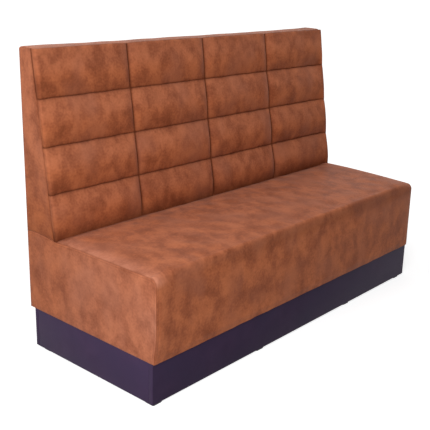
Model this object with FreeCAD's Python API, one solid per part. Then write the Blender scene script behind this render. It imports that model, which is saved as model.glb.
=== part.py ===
import FreeCAD, Part
import os

# A freestanding upholstered bench for a restaurant booth, in millimetres.
# X runs along the bench, -Y is the front and +Z is up. The origin lies on the
# floor, under the middle of the bench. A box plinth of laminated board carries
# an upholstered seat box, and a leaning backrest is bolted on top of its rear.

# Overall sizes
overall_width = 1650.0
overall_depth = 665.0
overall_height = 1110.0
seat_height = 450.0

# Backrest face, measured level from the seams between its channels to the rear
back_depth_at_seat = 166.0
back_depth_at_top = 78.0
column_count = 4
channel_count = 4

# Upholstery
cover_thickness = 2.0
wrap_width = 16.0
soft_gap = 0.3
seat_crown = 8.0
seat_edge_radius = 32.0
seat_crown_roll = 260.0
seat_foam_thickness = 60.0
front_foam_thickness = 10.0
back_foam_thickness = 10.0
channel_crown = 14.0
channel_shoulder = 10.5
channel_roll = 13.0
column_roll = 30.0

# Plinth
glide_thickness = 4.0
glide_width = 42.0
glide_corner_radius = 6.0
glide_left_inset = 26.0
glide_right_inset = 62.0
glide_edge_margin = 1.0
rear_glide_inset = 59.0
plinth_height = 150.0
plinth_board = 18.0
plinth_front_inset = 7.0
plinth_rear_inset = 25.0
plinth_end_inset = 1.0
corner_block_width = 50.0

# Seat box
seat_board = 16.0
deck_thickness = 15.0
bottom_batten_width = 80.0
bottom_batten_height = 22.0
packing_width = 60.0

# Backrest frame
back_board = 18.0
face_board_thickness = 8.0
rear_board_thickness = 4.0

# Fasteners
fit_clearance = 0.1
screw_head_radius = 4.0
screw_head_height = 3.0
screw_shank_radius = 2.0
deck_screw_length = 42.0
corner_screw_length = 50.0
face_screw_length = 32.0
block_screw_length = 60.0
fixing_screw_length = 62.0
nail_head_radius = 3.5
nail_head_height = 1.5
nail_shank_radius = 1.5
glide_nail_length = 25.0
glide_nail_recess = 1.0
rear_nail_length = 18.0
dowel_radius = 4.0
dowel_length = 35.0
dowel_depth_in_board = 12.0
dowel_end_gap = 0.5
bolt_radius = 4.0
bolt_head_radius = 6.5
bolt_head_height = 5.3
bolt_end_margin = 4.0
washer_radius = 11.0
washer_thickness = 1.6
tee_nut_flange_radius = 9.0
tee_nut_flange_thickness = 1.5
tee_nut_barrel_radius = 5.0
tee_nut_barrel_length = 10.0

# Spacings of what repeats, as shares of the length that they divide
rib_shares = (0.342, 0.702)
dowel_height_shares = (0.25, 0.75)
front_block_screw_shares = (0.27, 0.67)
end_block_screw_shares = (0.4, 0.56)
corner_screw_height_shares = (0.3, 0.8)
deck_screw_shares = (0.06, 0.26, 0.5, 0.78, 0.94)
rib_screw_shares = (0.3, 0.7)
face_screw_height_shares = (0.1, 0.5, 0.92)
rear_nail_height_shares = (0.06, 0.36, 0.66, 0.96)

# How the soft forms swell away from their edges: the distance from the edge as
# a share of the roll, and the height there as a share of the full crown
seat_distance_shares = (0.0, 0.08, 0.3, 0.6, 1.0)
seat_rise_shares = (0.1, 0.35, 0.7, 0.92, 1.0)
seat_front_rise_share = 0.55
channel_distance_shares = (0.0, 0.1, 0.3, 1.0)
channel_rise_shares = (0.45, 0.76, 0.93, 1.0)
quarter_near_share = 0.2929
quarter_far_share = 0.7071

# Places worked out from the sizes
left = -overall_width / 2
right = overall_width / 2
front = -overall_depth / 2
rear = overall_depth / 2
plinth_top = glide_thickness + plinth_height
carcass_bottom = plinth_top + cover_thickness
deck_top = seat_height - cover_thickness - seat_foam_thickness
deck_bottom = deck_top - deck_thickness
back_top = overall_height - cover_thickness
inner_left = left + cover_thickness
inner_right = right - cover_thickness
carcass_front = front + cover_thickness + front_foam_thickness
carcass_rear = rear - cover_thickness
back_padding = cover_thickness + back_foam_thickness
frame_setback = back_padding + face_board_thickness
frame_rear = carcass_rear - rear_board_thickness
column_width = overall_width / column_count
channel_height = (overall_height - seat_height) / channel_count
back_lean = (back_depth_at_seat - back_depth_at_top) / (overall_height - seat_height)

along_x = FreeCAD.Vector(1, 0, 0)
along_y = FreeCAD.Vector(0, 1, 0)
upward = FreeCAD.Vector(0, 0, 1)
into_back = FreeCAD.Vector(0, 1, -back_lean).normalize()

parts = {}


def face_y(z, setback):
    """Y of the leaning plane that lies setback behind the channel seams, at height z."""
    return rear - back_depth_at_seat + setback + (z - seat_height) * back_lean


def block(x0, x1, y0, y1, z0, z1):
    """A board or batten between six planes."""
    return Part.makeBox(x1 - x0, y1 - y0, z1 - z0, FreeCAD.Vector(x0, y0, z0))


def outline_prism(points, x0, x1):
    """A solid with a side outline of (y, z) points, from x0 to x1."""
    corners = [FreeCAD.Vector(x0, y, z) for y, z in points]
    face = Part.Face(Part.makePolygon(corners + corners[:1]))
    return face.extrude(FreeCAD.Vector(x1 - x0, 0, 0))


def leaning_slab(x0, x1, z0, z1, setback, depth):
    """A sheet that leans with the backrest's face."""
    points = [
        (face_y(z0, setback), z0),
        (face_y(z0, setback + depth), z0),
        (face_y(z1, setback + depth), z1),
        (face_y(z1, setback), z1),
    ]
    return outline_prism(points, x0, x1)


def wedge(x0, x1, z0, z1, setback, y_rear):
    """A wedge with a leaning front and an upright rear."""
    points = [
        (face_y(z0, setback), z0),
        (y_rear, z0),
        (y_rear, z1),
        (face_y(z1, setback), z1),
    ]
    return outline_prism(points, x0, x1)


def rod(radius, length, start, direction):
    """A round bar."""
    return Part.makeCylinder(radius, length, start, direction)


def screw(start, direction, length, spare=0.0):
    """A screw with its head flush at start; spare widens it into its own hole."""
    head = rod(screw_head_radius + spare, screw_head_height, start, direction)
    shank = rod(screw_shank_radius + spare, length, start, direction)
    return head.fuse(shank).removeSplitter()


def nail(start, direction, length, spare=0.0):
    """A flat-headed nail with its head flush at start; spare makes its hole."""
    head = rod(nail_head_radius + spare, nail_head_height, start, direction)
    shank = rod(nail_shank_radius + spare, length, start, direction)
    return head.fuse(shank).removeSplitter()


def drill(names, holes):
    """Cut the same holes out of several pieces."""
    for name in names:
        parts[name] = parts[name].cut(Part.makeCompound(holes))


def fasten(node, form, seats, direction, length, names):
    """Make one group of like fasteners, and their holes in what they join."""
    parts[node] = Part.makeCompound([form(seat, direction, length) for seat in seats])
    drill(names, [form(seat, direction, length, fit_clearance) for seat in seats])


# Plinth boards: the front and rear ones cover the ends of the end boards
plinth_left = left + plinth_end_inset
plinth_right = right - plinth_end_inset
plinth_front = front + plinth_front_inset
plinth_rear = rear - plinth_rear_inset
inside_front = plinth_front + plinth_board
inside_rear = plinth_rear - plinth_board
inside_left = plinth_left + plinth_board
inside_right = plinth_right - plinth_board


def plinth_piece(x0, x1, y0, y1):
    """A plinth board on the glides, up to the seat box."""
    return block(x0, x1, y0, y1, glide_thickness, plinth_top)


parts["plinth_front_board"] = plinth_piece(plinth_left, plinth_right, plinth_front, inside_front)
parts["plinth_rear_board"] = plinth_piece(plinth_left, plinth_right, inside_rear, plinth_rear)
parts["plinth_end_board_left"] = plinth_piece(plinth_left, inside_left, inside_front, inside_rear)
parts["plinth_end_board_right"] = plinth_piece(inside_right, plinth_right, inside_front, inside_rear)
rib_centres = [left + share * overall_width for share in rib_shares]
rib_names = ["plinth_rib_left", "plinth_rib_right"]
for name, centre in zip(rib_names, rib_centres):
    rib_left = centre - plinth_board / 2
    parts[name] = plinth_piece(rib_left, rib_left + plinth_board, inside_front, inside_rear)

block_corners = []
for block_x in (inside_left, inside_right - corner_block_width):
    for block_y in (inside_front, inside_rear - corner_block_width):
        block_corners.append((block_x, block_y))
parts["plinth_corner_blocks"] = Part.makeCompound([
    plinth_piece(x, x + corner_block_width, y, y + corner_block_width)
    for x, y in block_corners
])

# Dowels in the butt joints of the plinth, half in the long boards
joint_centres = [plinth_left + plinth_board / 2, *rib_centres, plinth_right - plinth_board / 2]
front_dowel_start = inside_front - dowel_depth_in_board
rear_dowel_start = inside_rear + dowel_depth_in_board
dowels = []
dowel_holes = []
for joint_x in joint_centres:
    for share in dowel_height_shares:
        dowel_z = glide_thickness + share * plinth_height
        for start_y, sense in ((front_dowel_start, 1), (rear_dowel_start, -1)):
            start = FreeCAD.Vector(joint_x, start_y, dowel_z)
            direction = along_y * sense
            hole_start = start - direction * dowel_end_gap
            hole_length = dowel_length + 2 * dowel_end_gap
            dowels.append(rod(dowel_radius, dowel_length, start, direction))
            dowel_holes.append(rod(dowel_radius + fit_clearance, hole_length, hole_start, direction))
parts["plinth_dowels"] = Part.makeCompound(dowels)
plinth_boards = ["plinth_front_board", "plinth_rear_board", "plinth_end_board_left",
                 "plinth_end_board_right", *rib_names]
drill(plinth_boards, dowel_holes)

# Screws from each corner block into the board in front of or behind it, and
# into the end board beside it
long_seats = {1: [], -1: []}
end_seats = {1: [], -1: []}
for x, y in block_corners:
    middle_x = x + corner_block_width / 2
    middle_y = y + corner_block_width / 2
    long_sense = -1 if y < 0 else 1
    end_sense = -1 if x < 0 else 1
    for share in front_block_screw_shares:
        seat_y = middle_y - long_sense * corner_block_width / 2
        seat_z = glide_thickness + share * plinth_height
        long_seats[long_sense].append(FreeCAD.Vector(middle_x, seat_y, seat_z))
    for share in end_block_screw_shares:
        seat_x = middle_x - end_sense * corner_block_width / 2
        seat_z = glide_thickness + share * plinth_height
        end_seats[end_sense].append(FreeCAD.Vector(seat_x, middle_y, seat_z))
block_screws = []
block_screw_holes = []
for sense in (1, -1):
    for seats, direction in ((long_seats[sense], along_y), (end_seats[sense], along_x)):
        for seat in seats:
            way = direction * sense
            block_screws.append(screw(seat, way, block_screw_length))
            block_screw_holes.append(screw(seat, way, block_screw_length, fit_clearance))
parts["plinth_block_screws"] = Part.makeCompound(block_screws)
drill(["plinth_corner_blocks", *plinth_boards[:4]], block_screw_holes)

# Glides under the corners and ribs, each held by one nail
glide_xs = [left + glide_left_inset, *rib_centres, right - glide_right_inset]
front_glide_y = plinth_front + glide_width / 2 + glide_edge_margin
glide_ys = [front_glide_y, plinth_rear - rear_glide_inset]
glide_places = [(x, y) for x in glide_xs for y in glide_ys]


def glide(x, y):
    """A flat square pad with rounded corners."""
    half = glide_width / 2
    pad = block(x - half, x + half, y - half, y + half, 0, glide_thickness)
    uprights = [edge for edge in pad.Edges if edge.Vertexes[0].Z != edge.Vertexes[1].Z]
    return pad.makeFillet(glide_corner_radius, uprights)


parts["glides"] = Part.makeCompound([glide(x, y) for x, y in glide_places])
recess_depth = glide_nail_recess + nail_head_height
recesses = [
    rod(nail_head_radius + fit_clearance, recess_depth, FreeCAD.Vector(x, y, 0), upward)
    for x, y in glide_places
]
drill(["glides"], recesses)
glide_nail_seats = [FreeCAD.Vector(x, y, glide_nail_recess) for x, y in glide_places]
fasten("glide_nails", nail, glide_nail_seats, upward, glide_nail_length,
       ["glides", "plinth_corner_blocks", *rib_names])

# Seat box: two end panels with a front, a rear and two ribs between them, on
# two bottom battens, under a deck
end_inner_left = inner_left + seat_board
end_inner_right = inner_right - seat_board
panel_front = carcass_front + seat_board
panel_rear = carcass_rear - seat_board
batten_top = plinth_top + bottom_batten_height


def carcass_panel(x0, x1, y0, y1):
    """An upright panel of the seat box, from its bottom to the deck."""
    return block(x0, x1, y0, y1, carcass_bottom, deck_bottom)


parts["seat_end_panel_left"] = carcass_panel(inner_left, end_inner_left, carcass_front, carcass_rear)
parts["seat_end_panel_right"] = carcass_panel(end_inner_right, inner_right, carcass_front, carcass_rear)
parts["seat_front_panel"] = carcass_panel(end_inner_left, end_inner_right, carcass_front, panel_front)
parts["seat_rear_panel"] = carcass_panel(end_inner_left, end_inner_right, panel_rear, carcass_rear)
for name, centre in zip(["seat_rib_left", "seat_rib_right"], rib_centres):
    rib_left = centre - seat_board / 2
    rib_right = centre + seat_board / 2
    parts[name] = block(rib_left, rib_right, panel_front, panel_rear, batten_top, deck_bottom)
parts["seat_bottom_batten_front"] = block(
    end_inner_left, end_inner_right, panel_front, panel_front + bottom_batten_width,
    plinth_top, batten_top)
parts["seat_bottom_batten_rear"] = block(
    end_inner_left, end_inner_right, panel_rear - bottom_batten_width, panel_rear,
    plinth_top, batten_top)
parts["seat_deck"] = block(
    inner_left, inner_right, carcass_front, carcass_rear, deck_bottom, deck_top)

# Screws through the seat box's end panels into the front and rear panels
panel_height = deck_bottom - carcass_bottom
for side, face_x, direction in (("left", inner_left, along_x), ("right", inner_right, -along_x)):
    seats = [
        FreeCAD.Vector(face_x, y, carcass_bottom + share * panel_height)
        for y in (carcass_front + seat_board / 2, carcass_rear - seat_board / 2)
        for share in corner_screw_height_shares
    ]
    fasten("seat_corner_screws_" + side, screw, seats, direction, corner_screw_length,
           ["seat_end_panel_" + side, "seat_front_panel", "seat_rear_panel"])

# Screws down through the deck into the panels and ribs
deck_seats = [
    FreeCAD.Vector(left + share * overall_width, y, deck_top)
    for share in deck_screw_shares
    for y in (carcass_front + seat_board / 2, carcass_rear - seat_board / 2)
]
deck_seats += [
    FreeCAD.Vector(centre, front + share * overall_depth, deck_top)
    for centre in rib_centres
    for share in rib_screw_shares
]

# Packing under the backrest: two battens and two end pieces, as high as the foam
packing_front = face_y(seat_height, back_padding)
parts["seat_packing_batten_front"] = block(
    inner_left, inner_right, packing_front, packing_front + packing_width, deck_top, seat_height)
parts["seat_packing_batten_rear"] = block(
    inner_left, inner_right, carcass_rear - packing_width, carcass_rear, deck_top, seat_height)
parts["seat_packing_end_blocks"] = Part.makeCompound([
    block(x, x + packing_width, packing_front + packing_width, carcass_rear - packing_width,
          deck_top, seat_height)
    for x in (inner_left, inner_right - packing_width)
])
fasten("seat_deck_screws", screw, deck_seats, -upward, deck_screw_length,
       ["seat_deck", "seat_front_panel", "seat_rear_panel", "seat_rib_left", "seat_rib_right"])

# Long screws down through the bottom battens into the plinth's corner blocks
fixing_seats = [
    FreeCAD.Vector(x + corner_block_width / 2, y + corner_block_width / 2, batten_top)
    for x, y in block_corners
]
fasten("plinth_fixing_screws", screw, fixing_seats, -upward, fixing_screw_length,
       ["seat_bottom_batten_front", "seat_bottom_batten_rear", "plinth_corner_blocks"])


# Seat cushion: one swelling form gives both the cover and the foam inside it
def swell_places(x0, x1, roll, distance_shares, rise_shares):
    """(x, rise share) pairs that climb from one end, stay level and fall to the other."""
    climb = [(share * roll, rise) for share, rise in zip(distance_shares, rise_shares)]
    rising = [(x0 + distance, rise) for distance, rise in climb]
    falling = [(x1 - distance, rise) for distance, rise in reversed(climb)]
    return rising + falling


def seat_section(x, rise, inset, bottom):
    """The side outline of the seat at x: upright front, rolled edge, crowned top."""
    y_front = front + inset
    y_rear = packing_front - inset
    radius = seat_edge_radius - inset
    level = seat_height - inset
    roll_top = level + seat_front_rise_share * seat_crown * rise
    rear_top = level + seat_crown * rise
    middle_top = level + seat_crown * rise
    roll_middle = FreeCAD.Vector(x, y_front + quarter_near_share * radius,
                                 roll_top - quarter_near_share * radius)
    foot = FreeCAD.Vector(x, y_front, bottom)
    roll_start = FreeCAD.Vector(x, y_front, roll_top - radius)
    roll_end = FreeCAD.Vector(x, y_front + radius, roll_top)
    top_middle = FreeCAD.Vector(x, (y_front + radius + y_rear) / 2, middle_top)
    top_end = FreeCAD.Vector(x, y_rear, rear_top)
    heel = FreeCAD.Vector(x, y_rear, bottom)
    return Part.Wire([
        Part.LineSegment(foot, roll_start).toShape(),
        Part.Arc(roll_start, roll_middle, roll_end).toShape(),
        Part.Arc(roll_end, top_middle, top_end).toShape(),
        Part.LineSegment(top_end, heel).toShape(),
        Part.LineSegment(heel, foot).toShape(),
    ])


def seat_form(inset, bottom, lift=0.0):
    """The seat's swelling form between its side covers, set in by inset."""
    places = swell_places(inner_left, inner_right, seat_crown_roll,
                          seat_distance_shares, seat_rise_shares)
    sections = [seat_section(x, rise, inset, bottom) for x, rise in places]
    form = Part.makeLoft(sections, True, True)
    form.translate(FreeCAD.Vector(0, 0, lift))
    return form


outer_form = seat_form(0.0, plinth_top)
cavity = seat_form(cover_thickness, carcass_bottom)
under_seat = block(inner_left, inner_right, front + wrap_width, packing_front, plinth_top, deck_top)
parts["seat_cover"] = outer_form.cut(cavity).cut(under_seat)
parts["seat_foam"] = seat_form(cover_thickness + soft_gap, deck_top)
parts["seat_front_foam"] = block(
    inner_left, inner_right, front + cover_thickness, carcass_front, carcass_bottom, deck_top)
for side, outer_x, sense in (("left", left, 1), ("right", right, -1)):
    plate_x = sorted((outer_x, outer_x + sense * cover_thickness))
    wrap_x = sorted((outer_x + sense * cover_thickness, outer_x + sense * wrap_width))
    plate = block(*plate_x, front, rear, plinth_top, seat_height)
    rolled = [
        edge for edge in plate.Edges
        if edge.CenterOfMass.y == front and edge.CenterOfMass.z == seat_height
    ]
    plate = plate.makeFillet(seat_edge_radius, rolled)
    wrap = block(*wrap_x, front + wrap_width, carcass_rear, plinth_top, carcass_bottom)
    parts["seat_side_cover_" + side] = plate.fuse(wrap).removeSplitter()
parts["seat_rear_cover"] = block(
    inner_left, inner_right, carcass_rear, rear, plinth_top, seat_height)

# Backrest frame: two wedge-shaped end frames and a rib behind each column seam,
# between a bottom board and a top rail, with a face board and a rear board
frame_inner_left = inner_left + back_board
frame_inner_right = inner_right - back_board
bottom_board_top = seat_height + back_board
rail_bottom = back_top - back_board
end_frame_names = ["back_end_frame_left", "back_end_frame_right"]
for name, x0 in zip(end_frame_names, (inner_left, frame_inner_right)):
    parts[name] = wedge(x0, x0 + back_board, seat_height, back_top, frame_setback, frame_rear)
parts["back_bottom_board"] = wedge(
    frame_inner_left, frame_inner_right, seat_height, bottom_board_top, frame_setback, frame_rear)
parts["back_top_rail"] = wedge(
    frame_inner_left, frame_inner_right, rail_bottom, back_top, frame_setback, frame_rear)
back_rib_names = []
back_rib_centres = []
for seam in range(1, column_count):
    name = "back_rib_%d" % seam
    centre = left + seam * column_width
    back_rib_names.append(name)
    back_rib_centres.append(centre)
    parts[name] = wedge(centre - back_board / 2, centre + back_board / 2,
                        bottom_board_top, rail_bottom, frame_setback, frame_rear)
parts["back_face_board"] = leaning_slab(
    inner_left, inner_right, seat_height, back_top, back_padding, face_board_thickness)
parts["back_rear_board"] = block(
    inner_left, inner_right, frame_rear, carcass_rear, seat_height, back_top)

# Screws through the end frames into the bottom board and the top rail
board_middle_z = seat_height + back_board / 2
rail_middle_z = back_top - back_board / 2
for side, face_x, direction in (("left", inner_left, along_x), ("right", inner_right, -along_x)):
    seats = []
    for z in (board_middle_z, rail_middle_z):
        y0 = face_y(z, frame_setback)
        seats += [
            FreeCAD.Vector(face_x, y0 + share * (frame_rear - y0), z)
            for share in corner_screw_height_shares
        ]
    fasten("back_corner_screws_" + side, screw, seats, direction, corner_screw_length,
           ["back_end_frame_" + side, "back_bottom_board", "back_top_rail"])

# Screws through the face board, and nails through the rear board, into the
# end frames and ribs
member_centres = [inner_left + back_board / 2, *back_rib_centres, inner_right - back_board / 2]
back_height = back_top - seat_height
face_seats = []
for centre in member_centres:
    for share in face_screw_height_shares:
        z = seat_height + share * back_height
        face_seats.append(FreeCAD.Vector(centre, face_y(z, back_padding), z))
fasten("back_face_screws", screw, face_seats, into_back, face_screw_length,
       ["back_face_board", *end_frame_names, *back_rib_names])
nail_seats = [
    FreeCAD.Vector(centre, carcass_rear, seat_height + share * back_height)
    for centre in member_centres
    for share in rear_nail_height_shares
]
fasten("back_rear_nails", nail, nail_seats, -along_y, rear_nail_length,
       ["back_rear_board", *end_frame_names, *back_rib_names])

# Bolts from under the deck, through the packing, into tee nuts on the bottom
# board: two rows, one bolt of each row under every column
bolt_rows = (packing_front + packing_width / 2, carcass_rear - packing_width / 2)
bolt_places = [
    (left + (column + 1 / 2) * column_width, y)
    for column in range(column_count)
    for y in bolt_rows
]
washer_bottom = deck_bottom - washer_thickness
bolt_tip = bottom_board_top + tee_nut_flange_thickness + bolt_end_margin
bolts = []
washers = []
tee_nuts = []
bolt_holes = []
barrel_holes = []
for x, y in bolt_places:
    under_washer = FreeCAD.Vector(x, y, washer_bottom)
    head_start = under_washer - upward * bolt_head_height
    on_board = FreeCAD.Vector(x, y, bottom_board_top)
    barrel_start = on_board - upward * tee_nut_barrel_length
    barrel_bore = rod(bolt_radius + fit_clearance, bolt_tip - washer_bottom, under_washer, upward)
    head = rod(bolt_head_radius, bolt_head_height, head_start, upward)
    shank = rod(bolt_radius, bolt_tip - washer_bottom, under_washer, upward)
    flange = rod(tee_nut_flange_radius, tee_nut_flange_thickness, on_board, upward)
    barrel = rod(tee_nut_barrel_radius, tee_nut_barrel_length, barrel_start, upward)
    bolts.append(head.fuse(shank).removeSplitter())
    washers.append(rod(washer_radius, washer_thickness, under_washer, upward).cut(barrel_bore))
    tee_nuts.append(flange.fuse(barrel).removeSplitter().cut(barrel_bore))
    bolt_holes.append(barrel_bore)
    barrel_holes.append(
        rod(tee_nut_barrel_radius + fit_clearance, tee_nut_barrel_length, barrel_start, upward))
parts["back_bolts"] = Part.makeCompound(bolts)
parts["back_bolt_washers"] = Part.makeCompound(washers)
parts["back_tee_nuts"] = Part.makeCompound(tee_nuts)
drill(["seat_deck", "seat_packing_batten_front", "seat_packing_batten_rear", "back_bottom_board"],
      bolt_holes)
drill(["back_bottom_board"], barrel_holes)


# Backrest padding: a flat foam sheet, and over it one sewn panel for each
# column, stuffed into level channels
def channel_point(x, z, height):
    """A point of the channelled face, height in front of the seams."""
    return FreeCAD.Vector(x, face_y(z, -height), z)


def channel_edges(x, z0, rise):
    """One channel of the face: a shoulder, the crown and the other shoulder."""
    z1 = z0 + channel_height
    shoulder = channel_shoulder * rise
    near = quarter_near_share * channel_roll
    seam_low = channel_point(x, z0, 0)
    seam_high = channel_point(x, z1, 0)
    shoulder_low = channel_point(x, z0 + channel_roll, shoulder)
    shoulder_high = channel_point(x, z1 - channel_roll, shoulder)
    roll_low = channel_point(x, z0 + near, quarter_far_share * shoulder)
    roll_high = channel_point(x, z1 - near, quarter_far_share * shoulder)
    crown = channel_point(x, (z0 + z1) / 2, channel_crown * rise)
    return [
        Part.Arc(seam_low, roll_low, shoulder_low).toShape(),
        Part.Arc(shoulder_low, crown, shoulder_high).toShape(),
        Part.Arc(shoulder_high, roll_high, seam_high).toShape(),
    ]


def channel_section(x, rise):
    """The side outline of a channelled panel at x."""
    edges = []
    for channel in range(channel_count):
        edges += channel_edges(x, seat_height + channel * channel_height, rise)
    low_face = channel_point(x, seat_height, 0)
    high_face = channel_point(x, overall_height, 0)
    low_back = channel_point(x, seat_height, -cover_thickness)
    high_back = channel_point(x, overall_height, -cover_thickness)
    edges.append(Part.LineSegment(high_face, high_back).toShape())
    edges.append(Part.LineSegment(high_back, low_back).toShape())
    edges.append(Part.LineSegment(low_back, low_face).toShape())
    return Part.Wire(edges)


def channel_panel(x0, x1):
    """The channelled panel of one column, before it is cut to the seat."""
    places = swell_places(x0, x1, column_roll, channel_distance_shares, channel_rise_shares)
    return Part.makeLoft([channel_section(x, rise) for x, rise in places], True, True)


seat_clearance_form = seat_form(0.0, deck_top, soft_gap)
parts["back_foam_sheet"] = leaning_slab(
    inner_left, inner_right, seat_height, back_top, cover_thickness, back_foam_thickness
).cut(seat_clearance_form)
for column in range(column_count):
    column_left = left + column * column_width
    panel = channel_panel(column_left, column_left + column_width)
    if column == 0:
        panel = panel.fuse(leaning_slab(
            left, inner_left, seat_height, overall_height, 0, back_padding))
    if column == column_count - 1:
        panel = panel.fuse(leaning_slab(
            inner_right, right, seat_height, overall_height, 0, back_padding))
    parts["back_channel_panel_%d" % (column + 1)] = panel.cut(seat_clearance_form).removeSplitter()

# Backrest covers behind the channelled panels
for side, x0, x1 in (("left", left, inner_left), ("right", inner_right, right)):
    parts["back_side_cover_" + side] = wedge(
        x0, x1, seat_height, overall_height, back_padding, rear)
parts["back_top_cover"] = wedge(
    inner_left, inner_right, back_top, overall_height, cover_thickness, rear)
parts["back_rear_cover"] = block(
    inner_left, inner_right, carcass_rear, rear, seat_height, back_top)

os.makedirs("parts", exist_ok=True)
for name, shape in parts.items():
    shape.exportStep("parts/" + name + ".step")
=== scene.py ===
import math

import bmesh
import bpy
import numpy as np
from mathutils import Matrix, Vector


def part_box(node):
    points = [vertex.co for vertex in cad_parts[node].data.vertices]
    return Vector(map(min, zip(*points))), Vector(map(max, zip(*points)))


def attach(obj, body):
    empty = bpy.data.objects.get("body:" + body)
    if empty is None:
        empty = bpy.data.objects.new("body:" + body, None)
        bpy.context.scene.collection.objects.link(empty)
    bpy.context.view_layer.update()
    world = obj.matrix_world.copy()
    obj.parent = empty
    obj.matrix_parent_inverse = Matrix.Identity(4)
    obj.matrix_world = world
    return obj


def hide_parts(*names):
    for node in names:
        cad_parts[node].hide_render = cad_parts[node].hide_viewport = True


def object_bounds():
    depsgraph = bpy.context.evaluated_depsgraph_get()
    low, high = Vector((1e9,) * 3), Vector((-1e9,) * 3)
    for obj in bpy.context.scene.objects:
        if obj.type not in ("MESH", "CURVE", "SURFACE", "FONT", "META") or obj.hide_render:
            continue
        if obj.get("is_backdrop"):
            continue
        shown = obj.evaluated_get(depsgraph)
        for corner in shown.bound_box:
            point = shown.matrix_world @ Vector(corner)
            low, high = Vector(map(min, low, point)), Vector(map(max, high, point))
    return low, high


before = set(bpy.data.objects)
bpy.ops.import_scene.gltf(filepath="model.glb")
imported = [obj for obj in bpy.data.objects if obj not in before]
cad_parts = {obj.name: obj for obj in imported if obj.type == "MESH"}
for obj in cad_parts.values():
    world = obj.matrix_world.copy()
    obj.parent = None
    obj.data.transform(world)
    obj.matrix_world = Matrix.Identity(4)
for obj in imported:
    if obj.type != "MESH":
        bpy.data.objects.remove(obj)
cad_low, cad_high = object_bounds()
scene = bpy.context.scene

# Glides. Eight flat pads of moulded black plastic carry the plinth, and one
# zinc-plated nail holds each pad up against the board or block above it.
# They stay as they are in the frame and only get their finishes here.


def feed(tree, node, inputs):
    """Give each input a value, or link another node's output to it."""
    for name, value in inputs.items():
        if isinstance(value, bpy.types.NodeSocket):
            tree.links.new(value, node.inputs[name])
        else:
            node.inputs[name].default_value = value


def add_node(tree, kind, inputs=None, **settings):
    """A node with its settings and inputs."""
    node = tree.nodes.new(kind)
    for name, value in settings.items():
        setattr(node, name, value)
    feed(tree, node, inputs or {})
    return node


def start_group(name, sizes, values):
    """A shader node group that takes a place and sizes; its inputs and its end node."""
    group = bpy.data.node_groups.new(name, "ShaderNodeTree")
    group.interface.new_socket("Place", in_out="INPUT", socket_type="NodeSocketVector")
    for label, size in sizes.items():
        socket = group.interface.new_socket(label, in_out="INPUT", socket_type="NodeSocketFloat")
        socket.default_value = size
    for label in values:
        group.interface.new_socket(label, in_out="OUTPUT", socket_type="NodeSocketFloat")
    return group, group.nodes.new("NodeGroupInput").outputs, group.nodes.new("NodeGroupOutput")


def place_group(tree, group, inputs):
    """The outputs of one use of a shader node group."""
    return add_node(tree, "ShaderNodeGroup", inputs, node_tree=group).outputs


def mix_colours(tree, share, first, second):
    """The colour between two colours, by a share from 0 to 1."""
    node = add_node(tree, "ShaderNodeMix", {0: share, 6: first, 7: second}, data_type="RGBA")
    return node.outputs[2]


def spread_range(tree, value, low, high, new_low=0.0, new_high=1.0):
    """A value moved from one range to another, held at its ends."""
    node = add_node(tree, "ShaderNodeMapRange", {
        "Value": value, "From Min": low, "From Max": high, "To Min": new_low, "To Max": new_high})
    return node.outputs["Result"]


def combine(tree, operation, first, second):
    """Two values added, multiplied and so on."""
    node = add_node(tree, "ShaderNodeMath", {0: first, 1: second}, operation=operation)
    return node.outputs[0]


def start_material(name):
    """A new material with its node tree, shader and the place on the object."""
    material = bpy.data.materials.new(name)
    material.use_nodes = True
    tree = material.node_tree
    place = add_node(tree, "ShaderNodeTexCoord").outputs["Object"]
    return material, tree, tree.nodes["Principled BSDF"], place


def raise_surface(tree, height, depth):
    """A normal for a height pattern; depth is its relief in metres."""
    node = add_node(tree, "ShaderNodeBump", {"Height": height, "Distance": depth, "Strength": 1.0})
    return node.outputs["Normal"]


def two_tone(name, pattern, size, first, second, roughness, relief=None, **rest):
    """A material of two colours in one fine pattern, its relief in metres."""
    material, tree, shader, place = start_material(name)
    marks = place_group(tree, pattern, {"Place": place, **size})
    feed(tree, shader, {
        "Base Color": mix_colours(tree, marks["Tone"], first, second),
        "Roughness": spread_range(tree, marks["Tone"], 0, 1, *roughness)})
    if relief:
        height = marks.get("Height", marks["Tone"])
        feed(tree, shader, {"Normal": raise_surface(tree, height, relief)})
    feed(tree, shader, rest)
    return material


def dress(names, material):
    """Give nodes of the frame their finish."""
    for name in names:
        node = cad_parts[name]
        if not node.material_slots:
            node.data.materials.append(None)
        for slot in node.material_slots:
            slot.material = material


cloudy, given, group_end = start_group(
    "cloudy_tone", {"Patch Size": 0.05, "Twist": 0.5}, ("Tone", "Drift"))
patches_per_metre = combine(cloudy, "DIVIDE", 1.0, given["Patch Size"])
broad = add_node(cloudy, "ShaderNodeTexNoise", {
    "Vector": given["Place"], "Scale": patches_per_metre, "Detail": 3.0, "Roughness": 0.45,
    "Distortion": given["Twist"]})
wide = add_node(cloudy, "ShaderNodeTexNoise", {
    "Vector": given["Place"], "Scale": combine(cloudy, "MULTIPLY", patches_per_metre, 0.37),
    "Detail": 2.0, "Roughness": 0.5})
feed(cloudy, group_end, {
    "Tone": spread_range(cloudy, broad.outputs[0], 0.3, 0.7),
    "Drift": spread_range(cloudy, wide.outputs[0], 0.34, 0.66)})

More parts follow.
